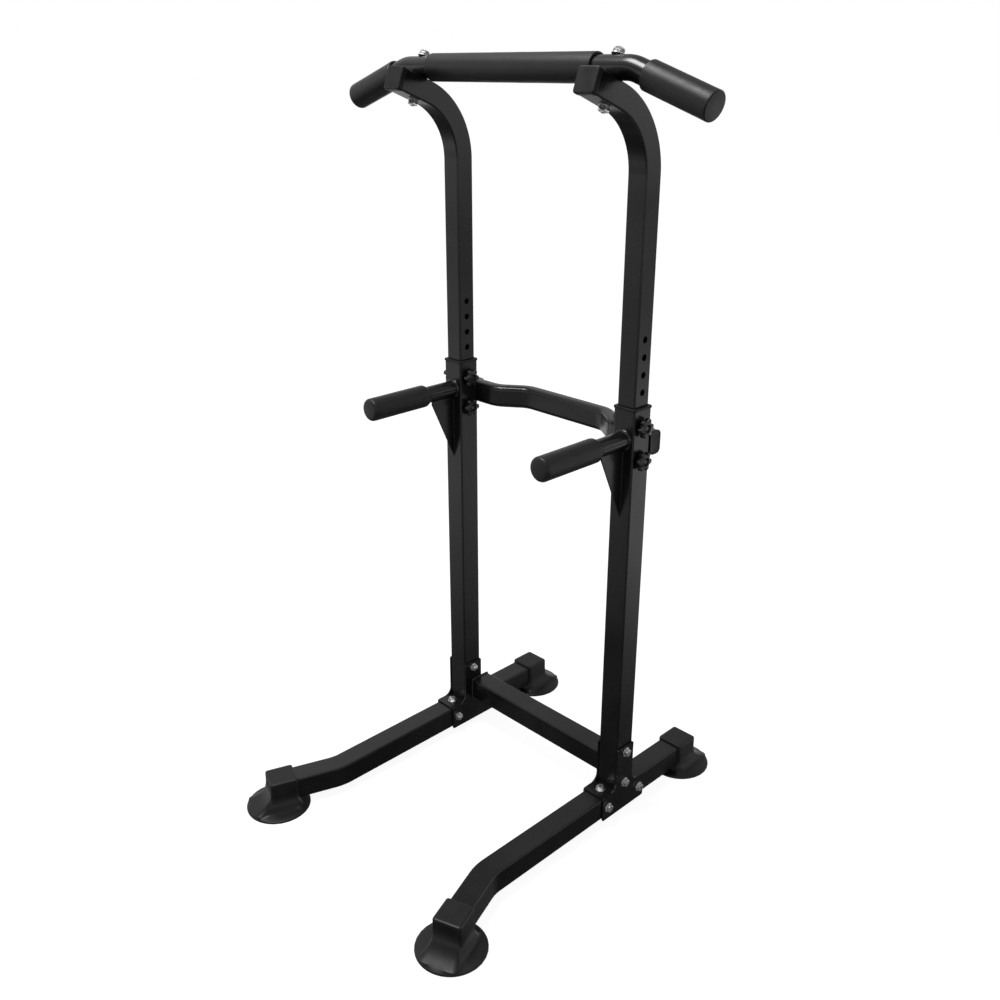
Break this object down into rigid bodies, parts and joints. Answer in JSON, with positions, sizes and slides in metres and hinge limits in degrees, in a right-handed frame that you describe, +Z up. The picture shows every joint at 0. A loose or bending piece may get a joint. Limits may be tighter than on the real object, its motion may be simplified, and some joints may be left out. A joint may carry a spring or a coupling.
{
  "type": "power tower",
  "caption": "Free-standing pull-up and dip station: telescoping uprights carry a pull-up bar with foam grips, with dip handles at waist height and splayed feet.",
  "frame": {"origin": "on the floor, under the middle of the overall box", "axes": "+Z up; the dip handles and the long ends of the rails point to -Y, and the back brace is on the +Y side"},
  "size_m": [1.0708, 1.0845, 1.8647],
  "materials": {
    "black_steel": "black powder coat, satin",
    "foot_rubber": "moulded black rubber, matte",
    "grip_foam": "closed-cell foam sleeve, matte",
    "black_plastic": "moulded black plastic",
    "knob_plastic": "moulded black plastic, satin",
    "zinc_hardware": "zinc-plated hexagon bolts and nuts"
  },
  "bodies": {
    "stand": {"rail_left": "black_steel", "rail_right": "black_steel", "saddle_bracket_left": "black_steel", "saddle_bracket_right": "black_steel", "lower_upright_left": "black_steel", "lower_upright_right": "black_steel", "dip_handle_left": "black_steel", "dip_handle_right": "black_steel", "gusset_left": "black_steel", "gusset_right": "black_steel", "crossbar": "black_steel", "back_brace": "black_steel", "foot_front_left": "foot_rubber", "foot_front_right": "foot_rubber", "foot_rear_left": "foot_rubber", "foot_rear_right": "foot_rubber", "dip_grip_left": "grip_foam", "dip_grip_right": "grip_foam", "bushing_left": "black_plastic", "bushing_right": "black_plastic", "brace_cap_left": "black_plastic", "brace_cap_right": "black_plastic", "rail_bolt_front_left": "zinc_hardware", "rail_bolt_front_right": "zinc_hardware", "rail_bolt_rear_left": "zinc_hardware", "rail_bolt_rear_right": "zinc_hardware", "upright_bolt_upper_left": "zinc_hardware", "upright_bolt_upper_right": "zinc_hardware", "upright_bolt_lower_left": "zinc_hardware", "upright_bolt_lower_right": "zinc_hardware", "saddle_bolt_left": "zinc_hardware", "saddle_bolt_right": "zinc_hardware", "brace_bolt_lower_left": "zinc_hardware", "brace_bolt_lower_right": "zinc_hardware", "brace_bolt_upper_left": "zinc_hardware", "brace_bolt_upper_right": "zinc_hardware"},
    "bar_carriage": {"upper_upright_left": "black_steel", "upper_upright_right": "black_steel", "pullup_bar": "black_steel", "centre_grip": "grip_foam", "end_grip_left": "grip_foam", "end_grip_right": "grip_foam", "end_cap_left": "black_plastic", "end_cap_right": "black_plastic", "bar_bolt_left": "zinc_hardware", "bar_bolt_right": "zinc_hardware"},
    "knob_lower_inner_left": {"star_knob_lower_inner_left": "knob_plastic"},
    "knob_lower_inner_right": {"star_knob_lower_inner_right": "knob_plastic"},
    "knob_lower_outer_left": {"star_knob_lower_outer_left": "knob_plastic"},
    "knob_lower_outer_right": {"star_knob_lower_outer_right": "knob_plastic"},
    "knob_upper_inner_left": {"star_knob_upper_inner_left": "knob_plastic"},
    "knob_upper_inner_right": {"star_knob_upper_inner_right": "knob_plastic"},
    "knob_upper_outer_left": {"star_knob_upper_outer_left": "knob_plastic"},
    "knob_upper_outer_right": {"star_knob_upper_outer_right": "knob_plastic"}
  },
  "joints": [
    {"name": "bar_height", "type": "slide", "parent": "stand", "child": "bar_carriage", "axis": [0, 0, 1], "range_m": [-0.2, 0.16]},
    {"name": "knob_lower_inner_left_turn", "type": "hinge", "parent": "stand", "child": "knob_lower_inner_left", "pos_m": [-0.258, 0.17037, 0.995], "axis": [1, 0, 0], "continuous": true},
    {"name": "knob_lower_inner_right_turn", "type": "hinge", "parent": "stand", "child": "knob_lower_inner_right", "pos_m": [0.258, 0.17037, 0.995], "axis": [-1, 0, 0], "continuous": true},
    {"name": "knob_lower_outer_left_turn", "type": "hinge", "parent": "stand", "child": "knob_lower_outer_left", "pos_m": [-0.318, 0.17037, 0.995], "axis": [-1, 0, 0], "continuous": true},
    {"name": "knob_lower_outer_right_turn", "type": "hinge", "parent": "stand", "child": "knob_lower_outer_right", "pos_m": [0.318, 0.17037, 0.995], "axis": [1, 0, 0], "continuous": true},
    {"name": "knob_upper_inner_left_turn", "type": "hinge", "parent": "stand", "child": "knob_upper_inner_left", "pos_m": [-0.258, 0.17037, 1.075], "axis": [1, 0, 0], "continuous": true},
    {"name": "knob_upper_inner_right_turn", "type": "hinge", "parent": "stand", "child": "knob_upper_inner_right", "pos_m": [0.258, 0.17037, 1.075], "axis": [-1, 0, 0], "continuous": true},
    {"name": "knob_upper_outer_left_turn", "type": "hinge", "parent": "stand", "child": "knob_upper_outer_left", "pos_m": [-0.318, 0.17037, 1.075], "axis": [-1, 0, 0], "continuous": true},
    {"name": "knob_upper_outer_right_turn", "type": "hinge", "parent": "stand", "child": "knob_upper_outer_right", "pos_m": [0.318, 0.17037, 1.075], "axis": [1, 0, 0], "continuous": true}
  ]
}
